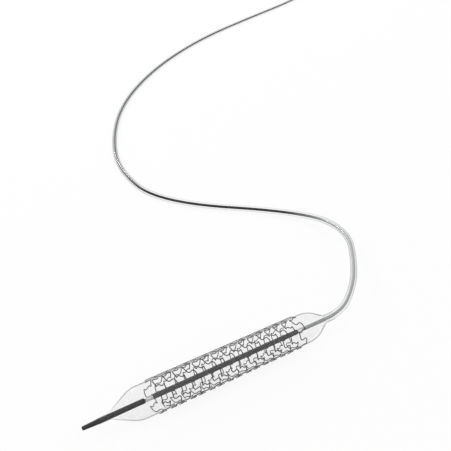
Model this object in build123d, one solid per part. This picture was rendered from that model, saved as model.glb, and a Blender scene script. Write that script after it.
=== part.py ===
from build123d import *
import os
from math import atan2, cos, degrees, hypot, pi, radians, sin, tan

# A balloon-expandable vascular stent, opened on the balloon of its delivery catheter.
# Millimetres, +Z up. The balloon's axis runs along X with the soft tip at -X. The stent lies
# on the plane z = 0, and the origin is below the middle of the tip, balloon and stent.

# Balloon
balloon_diameter = 3.50
balloon_wall = 0.04
balloon_overhang_tip = 1.30
balloon_overhang_shaft = 0.90
tip_cone_length = 3.70
tip_shoulder_run = 0.75
shaft_cone_length = 3.30
shaft_shoulder_run = 1.10
shoulder_facets = 3
tip_neck_length = 1.20
shaft_neck_length = 1.50
bond_gap = 0.01

# Stent
ring_pairs = 8
crowns = 6
strut_width = 0.11
strut_thickness = 0.08
seat_gap = 0.01
wide_ring_long_run = 0.90
wide_ring_short_run = 0.60
deep_ring_long_run = 1.08
deep_ring_short_run = 0.53
link_gap_in_pair = 0.48
link_gap_between_pairs = 0.27
links_per_gap = 2
crown_bulge = 0.05
run_wave_angle = 5.5
wavy_corner_angle = 1.5
plain_corner_angle = 3.5
crown_flat_angle = 7.5
wall_fold_angle = 9.0
first_run_angle = 52.6

# Tubes on the catheter's axis
guidewire_lumen = 0.38
inner_tube_diameter = 0.44
sleeve_diameter = 0.56
band_diameter = 0.49
band_length = 0.90
band_gap = 0.05
tip_free_length = 2.95
tip_nose_diameter = 0.42
tip_nose_round = 0.05
shaft_diameter = 0.90

# Flat sides round each drawn tube, which keep the files small
tube_sides = 10
hub_sides = 12
balloon_sides = 20
coil_sides = 36

# Proximal end: the coil, the strain relief and the two-armed hub
coil_outer_turn_radius = 30.0
turn_pitch = 0.95
turns_on_floor = 4
layer_rise = 0.90
coil_stub_length = 8.0
relief_length = 14.0
relief_nose_diameter = 1.70
relief_end_diameter = 4.20
relief_socket_depth = 5.0
hub_body_length = 34.0
hub_body_diameter = 6.20
hub_waist_diameter = 5.00
luer_collar_diameter = 7.80
luer_collar_length = 4.0
luer_mouth_diameter = 4.30
luer_taper_depth = 7.5
luer_taper = 0.06
hub_channel_diameter = 1.20
side_arm_length = 20.0
side_arm_angle = 35.0
side_arm_start = 12.0
hub_nose_length = 1.5

# Worked out from the sizes above
balloon_radius = balloon_diameter / 2
shaft_radius = shaft_diameter / 2
half_crown = 180 / crowns / 2
fold_cosine = cos(radians(wall_fold_angle))
wall_inner_radius = (balloon_radius + seat_gap) / fold_cosine
wall_outer_radius = wall_inner_radius + strut_thickness / fold_cosine
wall_middle_radius = (wall_inner_radius + wall_outer_radius) / 2


def ring_reach(long_run, short_run):
    """Half of a ring's axial length, out to the far side of its struts."""
    corner = long_run / 2
    crown = (long_run + short_run) / 4 + crown_bulge
    return max(corner, crown) + strut_width / 2


pair_step_one = wide_ring_short_run / 2 + link_gap_in_pair + deep_ring_long_run / 2
pair_step_two = deep_ring_long_run / 2 + link_gap_between_pairs + wide_ring_short_run / 2
pair_pitch = pair_step_one + pair_step_two
wide_reach = ring_reach(wide_ring_long_run, wide_ring_short_run)
deep_reach = ring_reach(deep_ring_long_run, deep_ring_short_run)
stent_length = wide_reach + (ring_pairs - 1) * pair_pitch + pair_step_one + deep_reach
tip_inside_length = tip_cone_length + balloon_overhang_tip - band_length - 2 * band_gap
overall_length = (
    tip_free_length
    + tip_cone_length
    + balloon_overhang_tip
    + stent_length
    + balloon_overhang_shaft
    + shaft_cone_length
    + shaft_neck_length
)

# Stations along the axis, from the tip to the shaft
tip_end_x = -overall_length / 2
tip_neck_x = tip_end_x + tip_free_length
tip_shoulder_x = tip_neck_x + tip_cone_length
stent_start_x = tip_shoulder_x + balloon_overhang_tip
stent_end_x = stent_start_x + stent_length
shaft_shoulder_x = stent_end_x + balloon_overhang_shaft
shaft_neck_x = shaft_shoulder_x + shaft_cone_length
shaft_neck_end_x = shaft_neck_x + shaft_neck_length
tip_tube_end_x = tip_neck_x + tip_inside_length
tip_band_x = tip_tube_end_x + band_gap
sleeve_start_x = tip_band_x + band_length + band_gap
shaft_band_x = stent_end_x
sleeve_end_x = shaft_band_x - band_gap


def strut_outline(points, width):
    """Outline of a strut that follows the points, with its outer corners cut back."""
    half = width / 2
    one_side = []
    other_side = []
    for before, here, after in zip(points, points[1:], points[2:]):
        run_in = (here[0] - before[0], here[1] - before[1])
        run_out = (after[0] - here[0], after[1] - here[1])
        length_in = hypot(*run_in)
        length_out = hypot(*run_out)
        normal_in = (-run_in[1] / length_in, run_in[0] / length_in)
        normal_out = (-run_out[1] / length_out, run_out[0] / length_out)
        middle = (normal_in[0] + normal_out[0], normal_in[1] + normal_out[1])
        size = hypot(*middle)
        middle = (middle[0] / size, middle[1] / size)
        mitre = half / (middle[0] * normal_in[0] + middle[1] * normal_in[1])
        blunt = min(mitre, 1.3 * half)
        turns_left = run_in[0] * run_out[1] - run_in[1] * run_out[0] > 0
        left = mitre if turns_left else blunt
        right = blunt if turns_left else mitre
        one_side.append((here[0] + middle[0] * left, here[1] + middle[1] * left))
        other_side.append((here[0] - middle[0] * right, here[1] - middle[1] * right))
    for side, neighbour in ((0, 1), (-1, -2)):
        end = points[side]
        down = points[1][1] < points[0][1]
        shift = half if down else -half
        one_side.insert(0 if side == 0 else len(one_side), (end[0] + shift, end[1]))
        other_side.insert(0 if side == 0 else len(other_side), (end[0] - shift, end[1]))
    return one_side + other_side[::-1]


def around(angle):
    """Sideways place, on a strut's flat pattern, of an angle round the stent."""
    return -wall_middle_radius * sin(radians(angle))


def wall_sector():
    """One half crown's share of the tube that the stent is cut from, with a flat each side."""

    def corner(angle, radius):
        return (radius * sin(radians(angle)), radius * cos(radians(angle)))

    edge = cos(radians(half_crown - wall_fold_angle))
    outside = [
        corner(-half_crown, wall_outer_radius * edge),
        corner(-wall_fold_angle, wall_outer_radius),
        corner(wall_fold_angle, wall_outer_radius),
        corner(half_crown, wall_outer_radius * edge),
    ]
    inside = [
        corner(half_crown, wall_inner_radius * edge),
        corner(wall_fold_angle, wall_inner_radius),
        corner(-wall_fold_angle, wall_inner_radius),
        corner(-half_crown, wall_inner_radius * edge),
    ]
    section = make_face(Plane.YZ * Polyline(*outside, *inside, close=True))
    return extrude(section, 2 * pair_pitch, dir=(1, 0, 0), both=True)


def cut_from_wall(outline, sector):
    """The part of the tube's wall that lies under a flat outline."""
    face = make_face(Polyline(*outline, close=True))
    below = wall_inner_radius / 2
    return extrude(Pos(0, 0, below) * face, wall_outer_radius, dir=(0, 0, 1)) & sector


def half_crown_solid(run, next_run, wavy, mirrored, sector):
    """One axial run with half of the crown on each side of it."""
    crown = (run + next_run) / 4 + crown_bulge
    corner = wavy_corner_angle if wavy else plain_corner_angle
    past_edge = half_crown + 2
    pattern = [(-crown, -past_edge), (-crown, -crown_flat_angle), (-run / 2, corner)]
    if wavy:
        pattern += [(-run / 6, -run_wave_angle), (run / 6, run_wave_angle)]
    pattern += [(run / 2, -corner), (crown, crown_flat_angle), (crown, past_edge)]
    side = -1 if mirrored else 1
    points = [(x, around(side * angle)) for x, angle in pattern]
    return cut_from_wall(strut_outline(points, strut_width), sector)


def ring_solid(even_run, odd_run, sector):
    """A closed ring of crowns. The longer of its two runs is wavy."""
    even = half_crown_solid(even_run, odd_run, even_run > odd_run, True, sector)
    odd = half_crown_solid(odd_run, even_run, odd_run > even_run, False, sector)
    pieces = []
    for place in range(2 * crowns):
        piece = odd if place % 2 else even
        pieces.append(Rot(X=2 * half_crown * place) * piece)
    return pieces[0].fuse(*pieces[1:]).clean()


def link_solid(start, end, sector):
    """A straight link between the corners of two rings."""
    (x1, y1), (x2, y2) = start, end
    length = hypot(x2 - x1, y2 - y1)
    dx = -(y2 - y1) / length * strut_width / 2
    dy = (x2 - x1) / length * strut_width / 2
    outline = [(x1 + dx, y1 + dy), (x2 + dx, y2 + dy), (x2 - dx, y2 - dy), (x1 - dx, y1 - dy)]
    return cut_from_wall(outline, Pos((x1 + x2) / 2, 0, 0) * sector)


def stent_solid():
    """Rings in pairs, joined by links that change places from gap to gap."""
    sector = wall_sector()
    wide_ring = ring_solid(wide_ring_short_run, wide_ring_long_run, sector)
    deep_ring = ring_solid(deep_ring_long_run, deep_ring_short_run, sector)
    wide_corner = wide_ring_short_run / 2
    deep_corner = deep_ring_long_run / 2
    in_pair = link_solid(
        (wide_corner, around(plain_corner_angle)),
        (pair_step_one - deep_corner, around(-wavy_corner_angle)),
        sector,
    )
    between = link_solid(
        (deep_corner, around(wavy_corner_angle)),
        (pair_step_two - wide_corner, around(-plain_corner_angle)),
        sector,
    )
    link_turn = 360 / links_per_gap
    crown_turn = 4 * half_crown
    pieces = []
    for pair in range(ring_pairs):
        wide_x = stent_start_x + wide_reach + pair * pair_pitch
        deep_x = wide_x + pair_step_one
        pieces.append(Pos(wide_x, 0, 0) * wide_ring)
        pieces.append(Pos(deep_x, 0, 0) * deep_ring)
        for number in range(links_per_gap):
            turn = round(link_turn * number / crown_turn) * crown_turn
            pieces.append(Pos(wide_x, 0, 0) * Rot(X=turn) * in_pair)
            if pair < ring_pairs - 1:
                pieces.append(Pos(deep_x, 0, 0) * Rot(X=turn + crown_turn) * between)
    whole = pieces[0].fuse(*pieces[1:])
    return Rot(X=first_run_angle) * whole


def turned(stations, sides):
    """A solid along X through round sections, each given as its place and its radius."""
    sections = [Plane.YZ.offset(x) * RegularPolygon(radius, sides) for x, radius in stations]
    return loft(sections, ruled=True)


def tube(start_x, end_x, outside, inside):
    """A plain tube on the catheter's axis."""
    solid = turned([(start_x, outside / 2), (end_x, outside / 2)], tube_sides)
    return solid - turned([(start_x, inside / 2), (end_x, inside / 2)], tube_sides)


def cone_stations(neck_x, neck_radius, shoulder_x, body_radius, shoulder_run):
    """A cone of the balloon from neck to shoulder: a straight flank, then a rounded shoulder."""
    way = 1 if shoulder_x > neck_x else -1
    corner_x = shoulder_x - way * shoulder_run
    rise = body_radius - neck_radius
    flank = hypot(corner_x - neck_x, rise)
    flank_end_x = corner_x - shoulder_run * (corner_x - neck_x) / flank
    flank_end_radius = body_radius - shoulder_run * rise / flank
    stations = [(neck_x, neck_radius)]
    for number in range(shoulder_facets + 1):
        share = number / shoulder_facets
        start, middle, end = (1 - share) ** 2, 2 * share * (1 - share), share**2
        x = start * flank_end_x + middle * corner_x + end * shoulder_x
        radius = start * flank_end_radius + (middle + end) * body_radius
        stations.append((x, radius))
    return stations


def balloon_solid():
    """Thin film blown in one piece: two necks, two cones and the working length."""

    def profile(inset):
        body = balloon_radius - inset
        tip_neck = sleeve_diameter / 2 + bond_gap + balloon_wall - inset
        shaft_neck = shaft_radius + bond_gap + balloon_wall - inset
        to_tip = cone_stations(tip_neck_x, tip_neck, tip_shoulder_x, body, tip_shoulder_run)
        to_shaft = cone_stations(
            shaft_neck_x, shaft_neck, shaft_shoulder_x, body, shaft_shoulder_run
        )
        return [
            (tip_neck_x - tip_neck_length, tip_neck),
            *to_tip,
            *to_shaft[::-1],
            (shaft_neck_end_x, shaft_neck),
        ]

    return turned(profile(0), balloon_sides) - turned(profile(balloon_wall), balloon_sides)


def tip_solid():
    """Soft tapered tip, bonded over the end of the inner tube and run on into the balloon."""
    nose = tip_nose_diameter / 2
    body = sleeve_diameter / 2
    seat_x = tip_end_x + tip_free_length / 4
    outside = [
        (tip_end_x, nose - tip_nose_round),
        (tip_end_x + tip_nose_round, nose),
        (tip_neck_x - tip_neck_length, body),
        (tip_tube_end_x, body),
    ]
    lumen = [(tip_end_x, guidewire_lumen / 2), (seat_x, guidewire_lumen / 2)]
    seat = [(seat_x, inner_tube_diameter / 2), (tip_tube_end_x, inner_tube_diameter / 2)]
    return turned(outside, tube_sides) - turned(lumen, tube_sides) - turned(seat, tube_sides)


def inner_tube_solid():
    """Guidewire tube from its seat in the tip to the start of the shaft."""
    start_x = tip_end_x + tip_free_length / 4
    return tube(start_x, shaft_neck_x, inner_tube_diameter, guidewire_lumen)


stent = stent_solid()
axis_height = -stent.bounding_box().min.Z
lift = Pos(0, 0, axis_height)

# Route of the shaft from the balloon's neck to the coil
shaft_route = [
    (shaft_neck_x, 0.0, axis_height),
    (shaft_neck_x + 2.8, 0.0, axis_height),
    (21.6, 2.1, 2.40),
    (26.2, 6.1, 2.40),
    (33.0, 14.1, 2.40),
    (35.0, 25.4, shaft_radius),
    (18.8, 41.9, shaft_radius),
    (20.8, 57.5, shaft_radius),
    (28.0, 71.9, shaft_radius),
    (38.5, 87.0, shaft_radius),
    (52.6, 101.6, shaft_radius),
    (70.3, 115.9, shaft_radius),
    (91.6, 129.4, shaft_radius),
    (116.9, 141.5, shaft_radius),
    (141.9, 152.7, shaft_radius),
    (163.4, 164.7, shaft_radius),
]


def corner_radii(route):
    """The largest bend that the runs beside each corner leave room for."""
    radii = []
    for before, here, after in zip(route, route[1:], route[2:]):
        into = Vector(*here) - Vector(*before)
        out = Vector(*after) - Vector(*here)
        half_turn = radians(into.get_angle(out)) / 2
        radii.append(0.45 * min(into.length, out.length) / tan(half_turn))
    return radii


def cord_solid(name, route):
    """A plain round cord along straight runs and tangent arcs."""
    radii = corner_radii(route)
    print(name, "bend radii", [round(radius, 1) for radius in radii])
    path = FilletPolyline(*route, radius=radii)
    start = Vector(*route[1]) - Vector(*route[0])
    section = Plane(route[0], z_dir=start) * RegularPolygon(shaft_radius, tube_sides)
    cord = sweep(section, path=path)
    expected = section.area * path.length
    print(name, "length", round(path.length, 1), "volume ratio", round(cord.volume / expected, 4))
    return cord


# The coil is entered along the route's last run and left at its far side, heading along -X
last_run = Vector(*shaft_route[-1]) - Vector(*shaft_route[-2])
coil_heading = atan2(last_run.Y, last_run.X)
coil_stub_end_x = shaft_route[-1][0] + coil_stub_length * cos(coil_heading)
coil_stub_end_y = shaft_route[-1][1] + coil_stub_length * sin(coil_heading)
coil_x = coil_stub_end_x - coil_outer_turn_radius * sin(coil_heading)
coil_y = coil_stub_end_y + coil_outer_turn_radius * cos(coil_heading)


def coil_solid():
    """The wound length as one closed ring, with the ends that lead in and out of it."""
    outer = coil_outer_turn_radius + shaft_radius
    inner = coil_outer_turn_radius - (turns_on_floor - 1) * turn_pitch - shaft_radius
    flat = RegularPolygon(outer, coil_sides) - RegularPolygon(inner, coil_sides)
    ring = extrude(flat, layer_rise + shaft_diameter)
    lead_in = Plane(
        (coil_stub_end_x - coil_x, coil_stub_end_y - coil_y, shaft_radius),
        z_dir=(-cos(coil_heading), -sin(coil_heading), 0),
    )
    lead_out = Plane((0, coil_outer_turn_radius, shaft_radius), z_dir=(-1, 0, 0))
    for plane in (lead_in, lead_out):
        ring += extrude(plane * RegularPolygon(shaft_radius, tube_sides), coil_stub_length)
    return Pos(coil_x, coil_y, 0) * ring


# The short length from the coil up to the hub, which lies on its collars
hub_height = luer_collar_diameter / 2
tail_y = coil_y + coil_outer_turn_radius
tail_x = coil_x - coil_stub_length
tail_route = [
    (tail_x, tail_y, shaft_radius),
    (tail_x - 7.0, tail_y, shaft_radius),
    (tail_x - 15.0, tail_y, hub_height - 1.2),
    (tail_x - 23.0, tail_y, hub_height),
    (tail_x - 30.5, tail_y, hub_height),
]
relief_x = tail_route[-1][0] + relief_socket_depth


def relief_solid():
    """Soft tapered sleeve that keeps the shaft from kinking at the hub."""
    outside = [(0, relief_nose_diameter / 2), (relief_length, relief_end_diameter / 2)]
    socket_radius = (shaft_radius + bond_gap) / cos(pi / hub_sides)
    socket = [(0, socket_radius), (relief_socket_depth, socket_radius)]
    return turned(outside, hub_sides) - turned(socket, hub_sides)


def luer_arm(length):
    """One arm of the hub along +X, ending in a collar."""
    waist = hub_waist_diameter / 2
    collar = luer_collar_diameter / 2
    arm = turned([(0, waist), (length, waist)], hub_sides)
    return arm + turned([(length - luer_collar_length, collar), (length, collar)], hub_sides)


def luer_socket(length):
    """The tapered socket in an arm's end and the narrow channel behind it."""
    mouth = luer_mouth_diameter / 2
    floor = mouth - luer_taper * luer_taper_depth / 2
    floor_x = length - luer_taper_depth
    channel = hub_channel_diameter / 2
    narrow = turned([(0, channel), (floor_x, channel)], hub_sides)
    return narrow + turned([(floor_x, floor), (length, mouth)], hub_sides)


def hub_solid():
    """Moulded hub with a straight guidewire arm and a side arm that fills the balloon."""
    nose = relief_end_diameter / 2
    barrel = hub_body_diameter / 2
    body = turned([(0, nose), (hub_nose_length, barrel), (side_arm_start, barrel)], hub_sides)
    turn = Pos(side_arm_start / 2, 0, 0) * Rot(Z=-side_arm_angle)
    body = body + luer_arm(hub_body_length) + turn * luer_arm(side_arm_length)
    channel = luer_socket(hub_body_length) + turn * luer_socket(side_arm_length)
    return body - channel


# On the bench the hub points along -X, away from the coil
hub_place = Pos(relief_x, tail_y, hub_height) * Rot(Z=180)

parts = {
    "stent": lift * stent,
    "balloon": lift * balloon_solid(),
    "distal_tip": lift * tip_solid(),
    "inner_tube": lift * inner_tube_solid(),
    "mounting_sleeve": lift
    * tube(sleeve_start_x, sleeve_end_x, sleeve_diameter, inner_tube_diameter),
    "distal_marker_band": lift
    * tube(tip_band_x, tip_band_x + band_length, band_diameter, inner_tube_diameter),
    "proximal_marker_band": lift
    * tube(shaft_band_x, shaft_band_x + band_length, band_diameter, inner_tube_diameter),
    "catheter_shaft": cord_solid("catheter_shaft", shaft_route),
    "shaft_coil": coil_solid(),
    "shaft_tail": cord_solid("shaft_tail", tail_route),
    "strain_relief": hub_place * relief_solid(),
    "luer_hub": hub_place * Pos(relief_length, 0, 0) * hub_solid(),
}

os.makedirs("parts", exist_ok=True)
for name, solid in parts.items():
    export_step(solid, f"parts/{name}.step")
print("axis height", round(axis_height, 4), "stent length", round(stent_length, 3))
print("coil centre", round(coil_x, 2), round(coil_y, 2), "relief", round(relief_x, 2))
print("tip end", round(tip_end_x, 3), "neck", round(shaft_neck_x, 3))
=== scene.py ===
import math

import bpy
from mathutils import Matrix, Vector


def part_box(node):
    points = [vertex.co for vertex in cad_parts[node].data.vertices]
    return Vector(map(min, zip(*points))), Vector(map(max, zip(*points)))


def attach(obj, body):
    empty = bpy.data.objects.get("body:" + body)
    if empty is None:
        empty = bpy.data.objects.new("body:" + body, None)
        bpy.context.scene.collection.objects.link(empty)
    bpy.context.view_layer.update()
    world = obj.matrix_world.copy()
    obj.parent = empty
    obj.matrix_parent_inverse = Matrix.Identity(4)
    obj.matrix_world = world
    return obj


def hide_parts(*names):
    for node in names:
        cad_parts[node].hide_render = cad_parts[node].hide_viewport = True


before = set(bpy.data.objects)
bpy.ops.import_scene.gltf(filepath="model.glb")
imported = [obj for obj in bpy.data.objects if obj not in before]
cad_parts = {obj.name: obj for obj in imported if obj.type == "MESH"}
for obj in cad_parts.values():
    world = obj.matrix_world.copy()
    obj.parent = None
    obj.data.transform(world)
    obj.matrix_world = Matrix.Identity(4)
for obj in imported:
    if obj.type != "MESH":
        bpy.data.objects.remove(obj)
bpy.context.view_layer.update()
bpy.ops.object.select_all(action="DESELECT")

# Catheter shaft. A clear nylon tube, extruded to 0.9 mm, over a thin core. It leaves the balloon's
# neck, lies loose on the table and is wound up for storage, and its far end goes into the strain
# relief. The points of its route are chosen to follow the photograph, as in the CAD source.
mm = 0.001
shaft_diameter = 0.9 * mm
core_diameter = 0.4 * mm
balloon_low, balloon_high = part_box("balloon")
axis_z = (balloon_low[2] + balloon_high[2]) / 2
neck_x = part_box("catheter_shaft")[0][0]
on_table = shaft_diameter / 2

shaft_points = [
    (neck_x, 0.0, axis_z),
    (neck_x + 0.0028, 0.0, axis_z),
    (0.0216, 0.0021, 0.0024),
    (0.0262, 0.0061, 0.0024),
    (0.0330, 0.0141, 0.0024),
    (0.0350, 0.0254, on_table),
    (0.0188, 0.0419, on_table),
    (0.0208, 0.0575, on_table),
    (0.0280, 0.0719, on_table),
    (0.0385, 0.0870, on_table),
    (0.0526, 0.1016, on_table),
    (0.0703, 0.1159, on_table),
    (0.0916, 0.1294, on_table),
    (0.1169, 0.1415, on_table),
    (0.1419, 0.1527, on_table),
    (0.1634, 0.1647, on_table),
]

# The coil turns anticlockwise: three turns inwards on the table, then outwards on top of them
coil_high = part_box("shaft_coil")[1]
coil_radius = 0.030
coil_x = coil_high[0] - coil_radius - on_table
coil_y = coil_high[1] - coil_radius - on_table
last_run = Vector(shaft_points[-1]) - Vector(shaft_points[-2])
entry_angle = math.atan2(last_run.y, last_run.x) - math.radians(90)
whole_turns = 5
turns = whole_turns + (math.radians(90) - entry_angle) / math.radians(360)
points_per_turn = 14
turn_pitch = 0.95 * mm
turns_in = 3.0
climb_end = 3.3
layer_rise = 0.91 * mm
for number in range(int(turns * points_per_turn)):
    turn = (number + 0.5) / points_per_turn
    outward = max(0.0, turn - climb_end)
    radius = coil_radius - turn_pitch * (min(turn, turns_in) - outward)
    climb = min(max((turn - turns_in) / (climb_end - turns_in), 0.0), 1.0)
    angle = entry_angle + math.radians(360) * turn
    reach = radius / math.cos(math.pi / points_per_turn)
    height = on_table + layer_rise * climb
    shaft_points.append((coil_x + reach * math.cos(angle), coil_y + reach * math.sin(angle), height))

# From the coil down to the table and up again to the hub, also by points given one by one
tail_x = coil_x - 0.008
tail_y = coil_y + coil_radius
hub_low, hub_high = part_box("luer_hub")
hub_axis_z = (hub_low[2] + hub_high[2]) / 2
shaft_points += [
    (tail_x + 0.0015, tail_y - 0.0002, on_table + layer_rise * 0.8),
    (tail_x - 0.0035, tail_y, on_table),
    (tail_x - 0.0080, tail_y, on_table),
    (tail_x - 0.0150, tail_y, hub_axis_z - 0.0012),
    (tail_x - 0.0230, tail_y, hub_axis_z),
    (tail_x - 0.0305, tail_y, hub_axis_z),
]


def laid_tube(name, points, diameter, roundness):
    """A round tube along one smooth open spline, whose control points are the points given."""
    line = bpy.data.curves.new(name, "CURVE")
    line.dimensions = "3D"
    line.bevel_depth = diameter / 2
    line.bevel_resolution = roundness
    line.use_fill_caps = True
    spline = line.splines.new("NURBS")
    spline.points.add(len(points) - 1)
    for control, place in zip(spline.points, points):
        control.co = (*place, 1.0)
    spline.order_u = 3
    spline.use_endpoint_u = True
    spline.resolution_u = 10
    tube = bpy.data.objects.new(name, line)
    bpy.context.collection.objects.link(tube)
    return tube


def linear(hex_colour):
    """The linear colour that a socket takes, from an sRGB hex value."""
    channels = [int(hex_colour[place : place + 2], 16) / 255 for place in (0, 2, 4)]
    return [c / 12.92 if c <= 0.04045 else ((c + 0.055) / 1.055) ** 2.4 for c in channels] + [1.0]


def add_node(material, kind, settings=None, inputs=None):
    """Adds a node to a material or the world. An input is a value, or another node's output."""
    node = material.node_tree.nodes.new(kind)
    for name, value in (settings or {}).items():
        setattr(node, name, value)
    for name, value in (inputs or {}).items():
        if isinstance(value, bpy.types.NodeSocket):
            material.node_tree.links.new(value, node.inputs[name])
        else:
            node.inputs[name].default_value = value
    return node


def new_material(name):
    material = bpy.data.materials.new(name)
    material.use_nodes = True
    material.node_tree.nodes.clear()
    return material


def noise_spots(material, scale, detail):
    """Plain noise on the piece, from 0 to 1, with spots about 1 / scale metres wide."""
    place = add_node(material, "ShaderNodeTexCoord")
    noise = add_node(
        material,
        "ShaderNodeTexNoise",
        inputs={"Vector": place.outputs["Object"], "Scale": scale, "Detail": detail},
    )
    return noise.outputs["Fac"]


def mapped(material, value, source, target, interpolation="LINEAR"):
    """Takes a value from the source range to the target range, and holds it at their ends."""
    node = add_node(
        material,
        "ShaderNodeMapRange",
        {"interpolation_type": interpolation},
        {
            "Value": value,
            "From Min": source[0],
            "From Max": source[1],
            "To Min": target[0],
            "To Max": target[1],
        },
    )
    return node.outputs["Result"]


def tone_between(material, share, first, second):
    """The colour that a share from 0 to 1 picks between two sRGB hex values."""
    # Inputs 6 and 7 take the mix's two colours, and output 2 gives the mixed one
    node = add_node(
        material,
        "ShaderNodeMix",
        {"data_type": "RGBA"},
        {"Factor": share, 6: linear(first), 7: linear(second)},
    )
    return node.outputs[2]


def add_surface(material, inputs):
    """Ends a material with one surface shader, which has these inputs."""
    body = add_node(material, "ShaderNodeBsdfPrincipled", inputs=inputs)
    add_node(material, "ShaderNodeOutputMaterial", inputs={"Surface": body.outputs[0]})


# The full range of a noise or a share
whole = (0.0, 1.0)

# Clear extruded nylon: almost unseen face on, with thin grey lines where the wall is seen edge on.
# Its gloss varies in spots about 0.3 mm wide, coarser than on a real tube, so that they show.
clear_nylon = new_material("clear_extruded_nylon")
edge = add_node(clear_nylon, "ShaderNodeLayerWeight", inputs={"Blend": 0.5})
cover = mapped(clear_nylon, edge.outputs["Facing"], (0.42, 0.88), (0.035, 0.5), "SMOOTHSTEP")
spots = noise_spots(clear_nylon, 3300.0, 2.0)
add_surface(
    clear_nylon,
    {
        "Base Color": linear("94969a"),
        "Roughness": mapped(clear_nylon, spots, whole, (0.06, 0.2)),
        "IOR": 1.53,
        "Alpha": cover,
    },
)

# Core. For about 3 cm from the balloon it carries a painted highlight, a light grey that is not
# metal, and from there on a drawn stainless steel wire stiffens the shaft: dark and satin, it reads
# as a black line. Its gloss varies in spots about 1 mm wide.
core_with_painted_highlight = new_material("shaft_core_with_painted_highlight")
painted_highlight_fades_y = 0.018
painted_highlight_gone_y = 0.0275
place = add_node(core_with_painted_highlight, "ShaderNodeTexCoord")
parts = add_node(core_with_painted_highlight, "ShaderNodeSeparateXYZ", inputs={"Vector": place.outputs["Object"]})
# Share of steel along the shaft: 0 where the core is painted light grey as a highlight, 1 beyond
beyond_painted_highlight = mapped(core_with_painted_highlight, parts.outputs["Y"], (painted_highlight_fades_y, painted_highlight_gone_y), whole, "SMOOTHSTEP")
spots = noise_spots(core_with_painted_highlight, 900.0, 2.0)
add_surface(
    core_with_painted_highlight,
    {
        # The first colour is the painted highlight, the second the steel's own dark grey
        "Base Color": tone_between(core_with_painted_highlight, beyond_painted_highlight, "a2a3a4", "2e2e30"),
        "Metallic": beyond_painted_highlight,
        "Roughness": mapped(core_with_painted_highlight, spots, whole, (0.24, 0.36)),
    },
)

shaft = laid_tube("shaft_tube", shaft_points, shaft_diameter, roundness=4)
shaft.data.materials.append(clear_nylon)
core = laid_tube("shaft_core", shaft_points, core_diameter, roundness=3)
core.data.materials.append(core_with_painted_highlight)
for piece in (shaft, core):
    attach(piece, "root")
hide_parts("catheter_shaft", "shaft_coil", "shaft_tail")

# Strain relief. A soft elastomer sleeve, moulded with ribs so that it bends evenly and the shaft
# doesn't kink where it enters the hub.
relief_low, relief_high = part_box("strain_relief")
relief_y = (relief_low[1] + relief_high[1]) / 2


def turned(name, stations, sides, middle=(0.0, axis_z)):
    """A ring extruded along X through stations of (x, radius). The last closes on the first."""
    x, radius = stations[0]
    y, z = middle
    bpy.ops.mesh.primitive_circle_add(
        vertices=sides, radius=radius, location=(x, y, z), rotation=(0, math.radians(90), 0)
    )
    piece = bpy.context.object
    piece.name = name
    piece.data.name = name
    bpy.ops.object.transform_apply(location=True, rotation=True, scale=True)
    bpy.ops.object.mode_set(mode="EDIT")
    bpy.ops.mesh.select_all(action="SELECT")
    for next_x, next_radius in stations[1:]:
        bpy.ops.mesh.extrude_edges_move(TRANSFORM_OT_translate={"value": (next_x - x, 0, 0)})
        grow = next_radius / radius
        bpy.ops.transform.resize(value=(1, grow, grow), center_override=(next_x, y, z))
        x, radius = next_x, next_radius
    bpy.ops.mesh.select_all(action="SELECT")
    bpy.ops.mesh.remove_doubles(threshold=1e-6)
    bpy.ops.mesh.normals_make_consistent(inside=False)
    bpy.ops.object.mode_set(mode="OBJECT")
    bpy.ops.object.shade_smooth_by_angle(angle=math.radians(40))
    return piece


ribs = 9
groove_depth = 0.16 * mm
plain_end = 1.2 * mm
first_rib = 1.6 * mm
length_without_ribs = 2 * mm
nose_radius = 0.85 * mm
nose_bevel = 0.15 * mm
end_radius = 2.1 * mm
socket_radius = 0.47 * mm
relief_length = relief_high[0] - relief_low[0]
rib_pitch = (relief_length - length_without_ribs) / ribs


def relief_radius(x):
    return end_radius + (nose_radius - end_radius) * (x - relief_low[0]) / relief_length


relief_profile = [
    (relief_low[0], end_radius),
    (relief_low[0] + plain_end, relief_radius(relief_low[0])),
]
for rib in range(ribs):
    start = relief_low[0] + first_rib + rib * rib_pitch
    for share, depth in ((0.0, 0.0), (0.12, groove_depth), (0.38, groove_depth), (0.5, 0.0)):
        x = start + share * rib_pitch
        relief_profile.append((x, relief_radius(x) - depth))
relief_profile += [
    (relief_high[0] - nose_bevel, nose_radius),
    (relief_high[0], nose_radius - nose_bevel),
    (relief_high[0], socket_radius),
    (relief_low[0], socket_radius),
    (relief_low[0], end_radius),
]
relief = turned("strain_relief_sleeve", relief_profile, sides=40, middle=(relief_y, hub_axis_z))

# Moulded thermoplastic elastomer: soft and matte. Its grain is about 0.2 mm wide, coarser than on
# a real moulding, so that it shows.
elastomer = new_material("moulded_elastomer")
grain = noise_spots(elastomer, 6000.0, 3.0)
bump = add_node(
    elastomer,
    "ShaderNodeBump",
    inputs={"Height": grain, "Strength": 0.15, "Distance": 0.02 * mm},
)
add_surface(
    elastomer,
    {"Base Color": linear("d6d8d9"), "Roughness": 0.55, "Normal": bump.outputs["Normal"]},
)
relief.data.materials.append(elastomer)
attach(relief, "root")
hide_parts("strain_relief")

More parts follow.
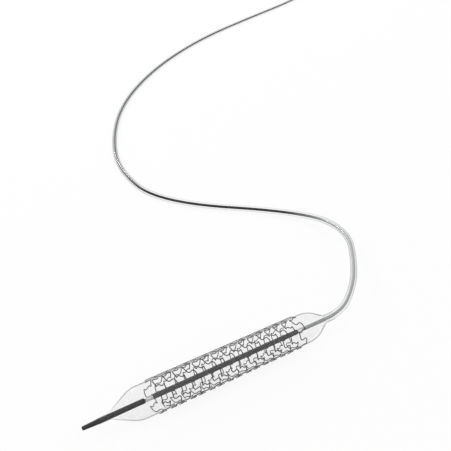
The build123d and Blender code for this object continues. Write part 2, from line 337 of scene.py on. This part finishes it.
# Luer hub. Injection-moulded clear polycarbonate in one piece: a straight arm for the guidewire
# and a side arm that fills the balloon, each ending in a collar round a socket, which narrows by
# 6 percent of its length.
hub_y = relief_y
straight_end = hub_low[0]
hub_start = relief_low[0]
side_angle = math.radians(35)
side_start = hub_start - 6.0 * mm
side_length = 20.0 * mm
root_radius = 2.1 * mm
barrel_radius = 3.1 * mm
barrel_length = 11.4 * mm
root_slope = 1.5 * mm
barrel_slope = 0.8 * mm
arm_radius = 2.5 * mm
collar_radius = 3.9 * mm
collar_length = 3.6 * mm
collar_slope = 1.0 * mm
back_bevel = 0.4 * mm
front_bevel = 0.3 * mm
mouth_radius = 2.15 * mm
mouth_flare = 0.2 * mm
socket_depth = 7.5 * mm
socket_end_radius = 1.93 * mm
channel_radius = 0.6 * mm


def luer_arm(name, start, end, root):
    """One arm towards -X, with its collar, its tapered socket and the channel behind it."""
    stations = root + [
        (end + collar_length + collar_slope, arm_radius),
        (end + collar_length + back_bevel, collar_radius - back_bevel),
        (end + collar_length, collar_radius),
        (end + front_bevel, collar_radius),
        (end, collar_radius - front_bevel),
        (end, mouth_radius + mouth_flare),
        (end + mouth_flare, mouth_radius),
        (end + socket_depth, socket_end_radius),
        (end + socket_depth, channel_radius),
        (start, channel_radius),
        root[0],
    ]
    return turned(name, stations, sides=48, middle=(hub_y, hub_axis_z))


def pick(piece):
    """Makes a piece the active one and the only one selected."""
    bpy.ops.object.select_all(action="DESELECT")
    bpy.context.view_layer.objects.active = piece
    piece.select_set(True)


barrel_root = [
    (hub_start, root_radius),
    (hub_start - root_slope, barrel_radius),
    (hub_start - barrel_length, barrel_radius),
    (hub_start - barrel_length - barrel_slope, arm_radius),
]
hub = luer_arm("luer_hub_body", hub_start, straight_end, barrel_root)
side_arm = luer_arm("hub_side_arm", side_start, side_start - side_length, [(side_start, arm_radius)])
bpy.ops.object.mode_set(mode="EDIT")
bpy.ops.mesh.select_all(action="SELECT")
bpy.ops.transform.rotate(
    value=side_angle, orient_axis="Z", center_override=(side_start, hub_y, hub_axis_z)
)
bpy.ops.object.mode_set(mode="OBJECT")
join = hub.modifiers.new("side_arm", "BOOLEAN")
join.operation = "UNION"
join.solver = "EXACT"
join.object = side_arm
pick(hub)
bpy.ops.object.modifier_apply(modifier="side_arm")
bpy.data.objects.remove(side_arm)
bpy.ops.object.shade_smooth_by_angle(angle=math.radians(40))

# Clear moulded polycarbonate: glossy, a little grey in the thick wall. Its gloss varies in spots
# about 3 mm wide.
polycarbonate = new_material("clear_moulded_polycarbonate")
edge = add_node(polycarbonate, "ShaderNodeLayerWeight", inputs={"Blend": 0.4})
cover = mapped(polycarbonate, edge.outputs["Facing"], whole, (0.28, 0.8))
spots = noise_spots(polycarbonate, 330.0, 3.0)
add_surface(
    polycarbonate,
    {
        "Base Color": linear("c3c8cb"),
        "Roughness": mapped(polycarbonate, spots, whole, (0.05, 0.18)),
        "IOR": 1.58,
        "Alpha": cover,
    },
)
hub.data.materials.append(polycarbonate)
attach(hub, "root")
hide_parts("luer_hub")

# Guidewire tube. A thin polyimide tube that runs through the balloon to the tip, with a bore for
# the guidewire. It is the grey tube that shows in the shaft end's cone.
tube_low, tube_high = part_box("inner_tube")
tube_radius = 0.22 * mm
bore_radius = 0.19 * mm
guide_tube = turned(
    "guidewire_tube",
    [
        (tube_low[0], bore_radius),
        (tube_low[0], tube_radius),
        (tube_high[0], tube_radius),
        (tube_high[0], bore_radius),
        (tube_low[0], bore_radius),
    ],
    sides=28,
)

# Polyimide, built up by dipping: smooth and grey in this light, with a slightly uneven tone
polyimide = new_material("dip_coated_polyimide")
spots = noise_spots(polyimide, 3000.0, 2.0)
add_surface(
    polyimide,
    {
        "Base Color": tone_between(polyimide, spots, "808182", "98999a"),
        "Roughness": 0.25,
        "IOR": 1.7,
    },
)
guide_tube.data.materials.append(polyimide)
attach(guide_tube, "root")
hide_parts("inner_tube")

# Soft tip. Black polymer, tapered by drawing it over a pin and bonded over the guidewire tube.
# Its cut end shows the bore, and its inner end is cut square inside the balloon.
tip_low, tip_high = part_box("distal_tip")
tip_nose = 0.21 * mm
nose_step = 0.03 * mm
nose_run = 0.04 * mm
tip_bore = bore_radius - 0.03 * mm
tip_body = 0.28 * mm
tip_grown_x = tip_low[0] + 1.75 * mm
tip_seat_x = tip_low[0] + 0.74 * mm
taper_round_run = 0.2 * mm
taper_round_drop = 0.01 * mm
end_bevel = 0.02 * mm
soft_tip = turned(
    "soft_tip",
    [
        (tip_low[0], tip_bore),
        (tip_low[0], tip_nose - nose_step),
        (tip_low[0] + nose_run, tip_nose),
        (tip_grown_x - taper_round_run, tip_body - taper_round_drop),
        (tip_grown_x, tip_body),
        (tip_high[0] - end_bevel, tip_body),
        (tip_high[0], tip_body - end_bevel),
        (tip_high[0], tube_radius),
        (tip_seat_x, tube_radius),
        (tip_seat_x, tip_bore),
        (tip_low[0], tip_bore),
    ],
    sides=36,
)

# Carbon-filled elastomer: matte and near-black, with a slightly uneven tone
filled_elastomer = new_material("carbon_filled_elastomer")
spots = noise_spots(filled_elastomer, 2500.0, 4.0)
add_surface(
    filled_elastomer,
    {"Base Color": tone_between(filled_elastomer, spots, "0f0f10", "1f1f20"), "Roughness": 0.6},
)
soft_tip.data.materials.append(filled_elastomer)
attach(soft_tip, "root")
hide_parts("distal_tip")

# Mounting sleeve. Dark matte tubing on the guidewire tube, which grips the folded balloon and
# keeps the crimped stent from slipping.
sleeve_low, sleeve_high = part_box("mounting_sleeve")


def bevelled_ring(low_x, high_x, radius, bevel_run, bevel_drop):
    """The profile of a ring on the guidewire tube, with its two outer edges bevelled."""
    return [
        (low_x, tube_radius),
        (low_x, radius - bevel_drop),
        (low_x + bevel_run, radius),
        (high_x - bevel_run, radius),
        (high_x, radius - bevel_drop),
        (high_x, tube_radius),
        (low_x, tube_radius),
    ]


sleeve_profile = bevelled_ring(sleeve_low[0], sleeve_high[0], tip_body, end_bevel, end_bevel)
sleeve = turned("dark_mounting_sleeve", sleeve_profile, sides=36)

# Filled nylon, left rough, so it stays dull and dark grey
filled_nylon = new_material("filled_nylon_sleeve")
spots = noise_spots(filled_nylon, 4000.0, 3.0)
add_surface(
    filled_nylon,
    {"Base Color": tone_between(filled_nylon, spots, "343435", "545455"), "Roughness": 0.6},
)
sleeve.data.materials.append(filled_nylon)
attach(sleeve, "root")
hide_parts("mounting_sleeve")

# Marker bands. Short rings of platinum-iridium, swaged on the guidewire tube at each end of the
# stent, so that its ends show under X-rays. The metal is bright and white, and its gloss varies in
# spots about 0.1 mm wide.
platinum = new_material("swaged_platinum_iridium")
spots = noise_spots(platinum, 10000.0, 2.0)
add_surface(
    platinum,
    {
        "Base Color": linear("b8b8ba"),
        "Metallic": 1.0,
        "Roughness": mapped(platinum, spots, whole, (0.1, 0.3)),
    },
)
band_radius = 0.245 * mm
band_bevel_run = 0.03 * mm
band_bevel_drop = 0.01 * mm
for node_name in ("distal_marker_band", "proximal_marker_band"):
    band_low, band_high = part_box(node_name)
    band_profile = bevelled_ring(
        band_low[0], band_high[0], band_radius, band_bevel_run, band_bevel_drop
    )
    band = turned(node_name + "_ring", band_profile, sides=36)
    band.data.materials.append(platinum)
    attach(band, "root")
    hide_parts(node_name)

# Balloon. A film of nylon about 0.04 mm thick, blown in a mould: a neck on the tip, a cone, the
# straight working length under the stent, a second cone and a neck on the shaft. Each cone has a
# straight flank and a rounded shoulder.
film = 0.04 * mm
balloon_radius = 1.75 * mm
tip_neck_length = 1.2 * mm
tip_cone_length = 3.7 * mm
shaft_neck_length = 1.5 * mm
shaft_cone_length = 3.3 * mm
tip_neck_x = balloon_low[0] + tip_neck_length
tip_shoulder_x = tip_neck_x + tip_cone_length
shaft_neck_x = balloon_high[0] - shaft_neck_length
shaft_shoulder_x = shaft_neck_x - shaft_cone_length
tip_neck_radius = 0.33 * mm
shaft_neck_radius = 0.50 * mm
tip_shoulder_run = 0.75 * mm
shaft_shoulder_run = 1.1 * mm
shoulder_rings = 8


def cone_line(neck_x, neck, shoulder_x, body, shoulder_run):
    """One cone's surface from neck to shoulder: a straight flank, then a rounded shoulder."""
    corner_x = shoulder_x - math.copysign(shoulder_run, shoulder_x - neck_x)
    share = shoulder_run / math.hypot(corner_x - neck_x, body - neck)
    flank_end = Vector((corner_x + share * (neck_x - corner_x), body + share * (neck - body)))
    corner = Vector((corner_x, body))
    shoulder = Vector((shoulder_x, body))
    line = [(neck_x, neck)]
    for ring in range(shoulder_rings + 1):
        share = ring / shoulder_rings
        line.append(tuple(flank_end.lerp(corner, share).lerp(corner.lerp(shoulder, share), share)))
    return line


def film_profile(inset):
    """The film's surface from neck to neck, brought in by the inset."""
    body = balloon_radius - inset
    tip_neck = tip_neck_radius - inset
    shaft_neck = shaft_neck_radius - inset
    tip_cone = cone_line(tip_neck_x, tip_neck, tip_shoulder_x, body, tip_shoulder_run)
    shaft_cone = cone_line(shaft_neck_x, shaft_neck, shaft_shoulder_x, body, shaft_shoulder_run)
    return [(balloon_low[0], tip_neck), *tip_cone, *shaft_cone[::-1], (balloon_high[0], shaft_neck)]


outer_line = film_profile(0.0)
inner_line = film_profile(film)
balloon = turned("balloon_film", outer_line + inner_line[::-1] + outer_line[:1], sides=80)

# Clear blown nylon film: face on it only dims the white a little, edge on it is a thin grey line.
# A faint haze varies in spots about 0.5 mm wide.
blown_film = new_material("clear_blown_nylon_film")
edge = add_node(blown_film, "ShaderNodeLayerWeight", inputs={"Blend": 0.5})
cover = mapped(blown_film, edge.outputs["Facing"], (0.6, 0.92), (0.0, 0.68), "SMOOTHSTEP")
spots = noise_spots(blown_film, 2000.0, 3.0)
haze = mapped(blown_film, spots, (0.3, 0.7), (0.02, 0.05))
hazy_cover = add_node(blown_film, "ShaderNodeMath", {"operation": "ADD"}, {0: cover, 1: haze})
add_surface(
    blown_film,
    {
        "Base Color": linear("86888a"),
        "Roughness": 0.1,
        "IOR": 1.53,
        "Alpha": hazy_cover.outputs[0],
    },
)
balloon.data.materials.append(blown_film)
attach(balloon, "root")
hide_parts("balloon")

# Stent. Cut by laser from a cobalt-chromium tube and electropolished, which rounds its edges.
# Rings of six crowns lie in pairs, a plain one and a deeper one, with short links between them.
# The lattice is too fine to shape by hand, so each ring is swept along its own line round the tube.
stent_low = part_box("stent")[0]
strut_width = 0.11 * mm
strut_thickness = 0.08 * mm
strut_middle = 1.822 * mm
edge_round = 0.022 * mm

# The lines that the rings and links follow: along the tube in mm, and round it in degrees
runs_round = 12
half_crown = 180 / runs_round
ring_pairs = 8
wide_runs = (0.60, 0.90)
deep_runs = (1.08, 0.53)
crown_reach = 0.05
run_swing = 6.5
wavy_end_swing = 1.0
plain_end_swing = 3.5
gap_in_pair = 0.48
gap_between_pairs = 0.27
first_run_angle = 52.6
corner_cuts = 2
cut_share = 0.25


def run_points(run, next_run, wavy, side):
    """The line of one run, out to the crown on each side, as (x in mm, angle in degrees)."""
    crown = (run + next_run) / 4 + crown_reach
    corner = wavy_end_swing if wavy else plain_end_swing
    points = [(-crown, -run_swing), (-run / 2, corner)]
    if wavy:
        points += [(-run / 5, -run_swing), (run / 5, run_swing)]
    points += [(run / 2, -corner), (crown, run_swing)]
    return [(x, side * angle) for x, angle in points]


def ring_line(even_run, odd_run):
    """A closed line round the tube, through six crowns at each end."""
    line = []
    for place in range(runs_round):
        if place % 2 == 0:
            points = run_points(even_run, odd_run, even_run > odd_run, -1)[::-1]
        else:
            points = run_points(odd_run, even_run, odd_run > even_run, 1)
        line += [(x, angle + 2 * half_crown * place) for x, angle in points]
    return line


def rounded_line(line):
    """Cuts the corners of a closed line, which rounds the bends as polishing does."""
    keep = 1 - cut_share
    for _ in range(corner_cuts):
        cut = []
        for (x1, a1), (x2, a2) in zip(line, line[1:] + line[:1]):
            if a2 < a1 - 180:
                a2 += 360
            cut.append((x1 * keep + x2 * cut_share, a1 * keep + a2 * cut_share))
            cut.append((x1 * cut_share + x2 * keep, a1 * cut_share + a2 * keep))
        line = cut
    return line


# Section of a strut, from its outer face round to its inner face: across it, then out from it
across = strut_width / 2
out = strut_thickness / 2
strut_section = [
    (-across + edge_round, out),
    (across - edge_round, out),
    (across, out - edge_round),
    (across, edge_round - out),
    (across - edge_round, -out),
    (edge_round - across, -out),
    (-across, edge_round - out),
    (-across, out - edge_round),
]
# The inner face and the two rounded edges beside it keep the alloy's colour; the rest takes the
# painted shade
inner_sides = (3, 4, 5)
stent_points = []
stent_faces = []
inner_faces = []


def sweep_strut(line, start_x, turn, closed):
    """Adds a strut along a line on the tube, with its flat face outwards."""
    first = len(stent_points)
    count = len(line)
    sides = len(strut_section)
    for step, (x, angle) in enumerate(line):
        before = line[step - 1] if closed or step else line[step]
        after = line[(step + 1) % count] if closed or step < count - 1 else line[step]
        swing = (after[1] - before[1] + 180) % 360 - 180
        along = Vector((after[0] - before[0], math.radians(swing) * strut_middle / mm)).normalized()
        for wide, high in strut_section:
            place = math.radians(angle + turn) + wide * along.x / strut_middle
            reach = strut_middle + high
            stent_points.append(
                (
                    start_x + x * mm - wide * along.y,
                    -reach * math.sin(place),
                    axis_z + reach * math.cos(place),
                )
            )
    for step in range(count if closed else count - 1):
        for side in range(sides):
            here = first + step * sides
            there = first + (step + 1) % count * sides
            face = (here + side, here + (side + 1) % sides, there + (side + 1) % sides, there + side)
            if side in inner_sides:
                inner_faces.append(len(stent_faces))
            stent_faces.append(face)
    if not closed:
        stent_faces.append(tuple(first + side for side in range(sides))[::-1])
        stent_faces.append(tuple(first + (count - 1) * sides + side for side in range(sides)))


wide_ring = rounded_line(ring_line(*wide_runs))
deep_ring = rounded_line(ring_line(*deep_runs))
wide_reach = sum(wide_runs) / 4 + crown_reach + across / mm
step_in_pair = wide_runs[0] / 2 + gap_in_pair + deep_runs[0] / 2
step_between = deep_runs[0] / 2 + gap_between_pairs + wide_runs[0] / 2
corner_in = 0.04
wide_corner = wide_runs[0] / 2 - corner_in
deep_corner = deep_runs[0] / 2 - corner_in
links_in_gap = 2
link_shift = 4 * half_crown
wide_link_angle = 3.0
deep_link_angle = 1.0
link_in_pair = [(wide_corner, wide_link_angle), (step_in_pair - deep_corner, -deep_link_angle)]
link_between = [(deep_corner, deep_link_angle), (step_between - wide_corner, -wide_link_angle)]
for pair in range(ring_pairs):
    wide_x = stent_low[0] + (wide_reach + pair * (step_in_pair + step_between)) * mm
    deep_x = wide_x + step_in_pair * mm
    sweep_strut(wide_ring, wide_x, first_run_angle, True)
    sweep_strut(deep_ring, deep_x, first_run_angle, True)
    for number in range(links_in_gap):
        turn = first_run_angle + 360 / links_in_gap * number
        sweep_strut(link_in_pair, wide_x, turn, False)
        if pair < ring_pairs - 1:
            sweep_strut(link_between, deep_x, turn + link_shift, False)

stent_mesh = bpy.data.meshes.new("stent_lattice")
stent_mesh.from_pydata(stent_points, [], stent_faces)
stent_mesh.validate()
stent = bpy.data.objects.new("stent_lattice", stent_mesh)
bpy.context.collection.objects.link(stent)

# Painted shade on the outside: a dark grey with a soft gloss, which stands for the dark look of the
# polished struts in this light; its tone and gloss vary every 0.2 mm or so
alloy_outer_painted_shade = new_material("stent_outer_painted_shade")
spots = noise_spots(alloy_outer_painted_shade, 5000.0, 3.0)
add_surface(
    alloy_outer_painted_shade,
    {
        "Base Color": tone_between(alloy_outer_painted_shade, spots, "242426", "3a3a3c"),
        "Roughness": mapped(alloy_outer_painted_shade, spots, whole, (0.22, 0.4)),
        "IOR": 1.6,
    },
)

# Electropolished cobalt-chromium in its own colour on the inside, which shows on the far wall:
# smooth, grey and brighter than the painted shade outside, with a slightly uneven gloss
polished_alloy = new_material("electropolished_cobalt_chromium")
spots = noise_spots(polished_alloy, 8000.0, 2.0)
add_surface(
    polished_alloy,
    {
        "Base Color": linear("9a9a9c"),
        "Metallic": 1.0,
        "Roughness": mapped(polished_alloy, spots, whole, (0.16, 0.34)),
    },
)
stent_mesh.materials.append(alloy_outer_painted_shade)
stent_mesh.materials.append(polished_alloy)
for number in inner_faces:
    stent_mesh.polygons[number].material_index = 1
pick(stent)
bpy.ops.object.shade_smooth_by_angle(angle=math.radians(50))
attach(stent, "root")
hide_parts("stent")

# Table and backdrop. A wide white sheet, bright and even as in a studio picture, which keeps a
# trace of the shadow.
bpy.ops.mesh.primitive_plane_add(size=6.0, location=(0.2, 0.3, 0.0))
table = bpy.context.object
table.name = "white_table"
own_glow = 0.86


def seen_directly(owner):
    """1 where the camera sees the surface itself, mirrored or through a clear wall, otherwise 0."""
    rays = add_node(owner, "ShaderNodeLightPath")
    seen = rays.outputs["Is Camera Ray"]
    for kind in ("Is Glossy Ray", "Is Transmission Ray"):
        either = add_node(
            owner,
            "ShaderNodeMath",
            {"operation": "ADD", "use_clamp": True},
            {0: seen, 1: rays.outputs[kind]},
        )
        seen = either.outputs[0]
    return seen


white_sheet = new_material("white_paper_sheet")
share = add_node(
    white_sheet,
    "ShaderNodeMath",
    {"operation": "MULTIPLY"},
    {0: seen_directly(white_sheet), 1: own_glow},
)
paper = add_node(
    white_sheet, "ShaderNodeBsdfPrincipled", inputs={"Base Color": linear("f4f4f4"), "Roughness": 0.9}
)
glow = add_node(white_sheet, "ShaderNodeEmission", inputs={"Strength": 1.0})
mixed = add_node(
    white_sheet,
    "ShaderNodeMixShader",
    inputs={0: share.outputs[0], 1: paper.outputs[0], 2: glow.outputs[0]},
)
add_node(white_sheet, "ShaderNodeOutputMaterial", inputs={"Surface": mixed.outputs[0]})
table.data.materials.append(white_sheet)

# Light. A white room, which looks brighter than the light that it gives, and three soft lamps: a
# large one over each shoulder of the camera, and a smaller one low beyond the object.
room_light = 0.6
room_look = 1.0
world = bpy.data.worlds.new("white_room")
bpy.context.scene.world = world
world.use_nodes = True
background = world.node_tree.nodes["Background"]
background.inputs["Color"].default_value = (1.0, 1.0, 1.0, 1.0)
level = mapped(world, seen_directly(world), whole, (room_light, room_look))
world.node_tree.links.new(level, background.inputs["Strength"])
lamp_target = (0.05, 0.05, 0.0)
for lamp_name, place, size, power in (
    ("soft_lamp_left", (-0.45, 0.05, 0.55), 0.4, 1.3),
    ("soft_lamp_right", (0.35, -0.35, 0.6), 0.4, 0.8),
    ("low_lamp_beyond", (0.10, 0.55, 0.23), 0.12, 1.2),
):
    bpy.ops.object.light_add(type="AREA", location=place)
    lamp = bpy.context.object
    lamp.name = lamp_name
    lamp.data.size = size
    lamp.data.energy = power
    aim = Vector(lamp_target) - Vector(place)
    lamp.rotation_euler = aim.to_track_quat("-Z", "Y").to_euler()

# Camera. It looks down at 26 degrees past the tip, along the balloon and the far curve of the shaft.
# Its place, turn and lens are fitted to the photograph.
bpy.ops.object.camera_add(
    location=(-0.041686, -0.056043, 0.053117),
    rotation=(math.radians(63.693), 0.0, math.radians(-37.04)),
)
camera = bpy.context.object
camera.data.lens = 63.86
camera.data.sensor_width = 36.0
camera.data.clip_start = 0.001
bpy.context.scene.camera = camera
bpy.context.scene.view_settings.view_transform = "Standard"
